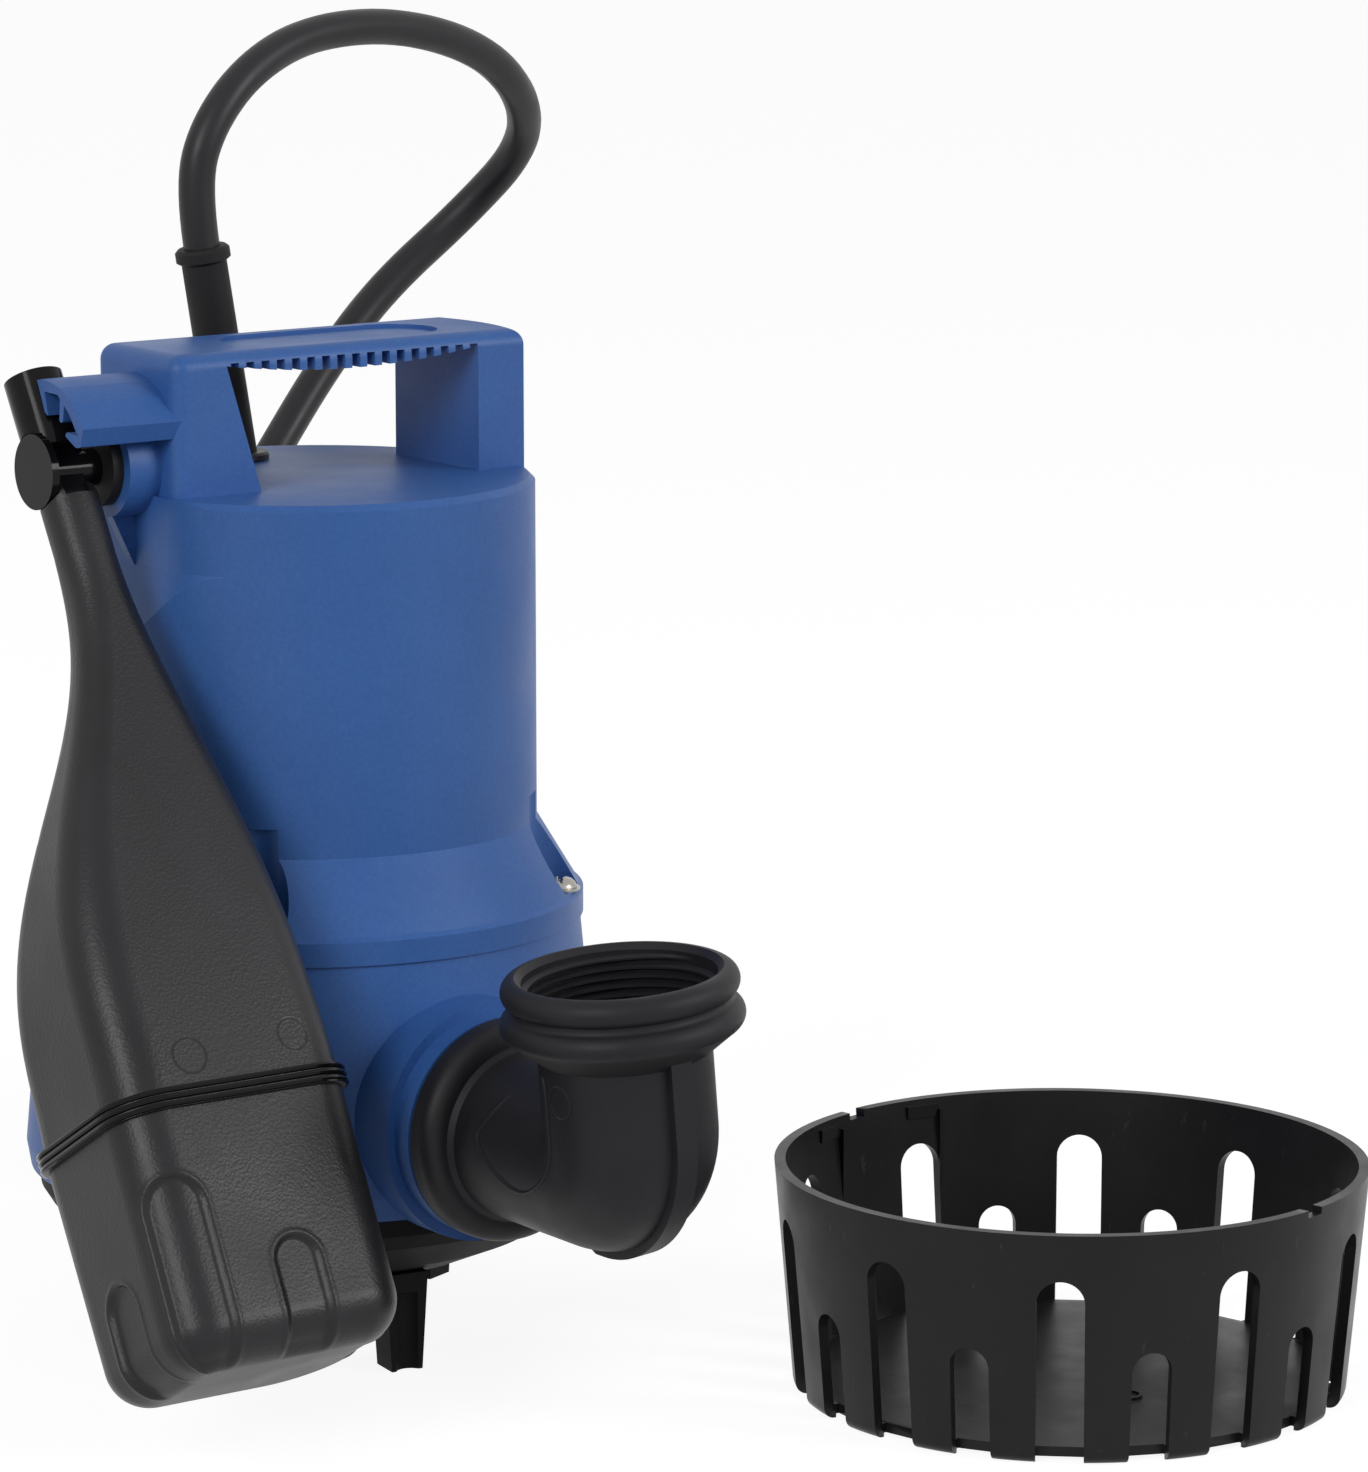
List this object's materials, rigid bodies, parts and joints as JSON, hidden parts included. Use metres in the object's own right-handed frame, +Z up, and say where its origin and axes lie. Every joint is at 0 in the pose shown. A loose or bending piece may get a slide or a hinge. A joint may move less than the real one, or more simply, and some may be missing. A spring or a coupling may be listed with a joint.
{
  "type": "submersible sump pump",
  "caption": "Upright submersible sump pump with a carrying handle, swinging float switch, side outlet elbow, power cable and a loose strainer basket.",
  "frame": {"origin": "on the floor under the motor shaft, in the plane of the three feet", "axes": "+Z up along the motor shaft; the handle runs along X with the float at -X; the outlet looks along -Y"},
  "size_m": [0.3134, 0.4755, 0.3389],
  "materials": {
    "blue_plastic": "fine-grained satin blue moulding",
    "black_plastic": "semi-gloss black moulding",
    "float_plastic": "fine pebble grain, satin black",
    "gloss_black": "polished black moulding",
    "elbow_plastic": "matt black moulding",
    "black_rubber": "matt black rubber",
    "cable_rubber": "satin black rubber sheath",
    "screw_steel": "stainless steel",
    "motor_steel": "machined steel",
    "cast_aluminium": "cast aluminium",
    "copper_wire": "varnished copper wire",
    "capacitor_case": "pale plastic case"
  },
  "bodies": {
    "pump": {"motor_cover": "blue_plastic", "pump_chamber": "blue_plastic", "suction_cover": "black_plastic", "seal_plate": "black_plastic", "micro_switch": "black_plastic", "discharge_elbow": "elbow_plastic", "elbow_gasket": "black_rubber", "chamber_o_ring": "black_rubber", "shaft_seal": "black_rubber", "cable_boot": "black_rubber", "pivot_bush": "black_rubber", "power_cable": "cable_rubber", "cable_coil": "cable_rubber", "power_plug": "cable_rubber", "cable_gland": "cable_rubber", "base_screws": "screw_steel", "cover_screws": "screw_steel", "motor_can": "motor_steel", "stator_core": "motor_steel", "lower_bearing": "motor_steel", "upper_bearing": "motor_steel", "bearing_bracket": "cast_aluminium", "lower_winding": "copper_wire", "upper_winding": "copper_wire", "capacitor": "capacitor_case"},
    "float": {"float_shell": "float_plastic", "float_seal": "black_rubber", "float_cap": "float_plastic", "float_arm": "gloss_black", "pivot_shaft": "gloss_black", "switch_cam": "gloss_black"},
    "rotating_group": {"rotor": "motor_steel", "motor_shaft": "motor_steel", "impeller": "black_plastic", "impeller_nut": "screw_steel"},
    "basket": {"strainer_basket": "black_plastic"}
  },
  "joints": [
    {"name": "float_pivot", "type": "hinge", "parent": "pump", "child": "float", "pos_m": [-0.073, 0, 0.2311], "axis": [-1, 0, 0], "range_deg": [0, 56]},
    {"name": "shaft_spin", "type": "hinge", "parent": "pump", "child": "rotating_group", "pos_m": [0, 0, 0.1], "axis": [0, 0, 1], "continuous": true},
    {"name": "basket_lift", "type": "slide", "parent": "pump", "child": "basket", "axis": [0, 0, 1], "range_m": [0, 0.12]}
  ]
}
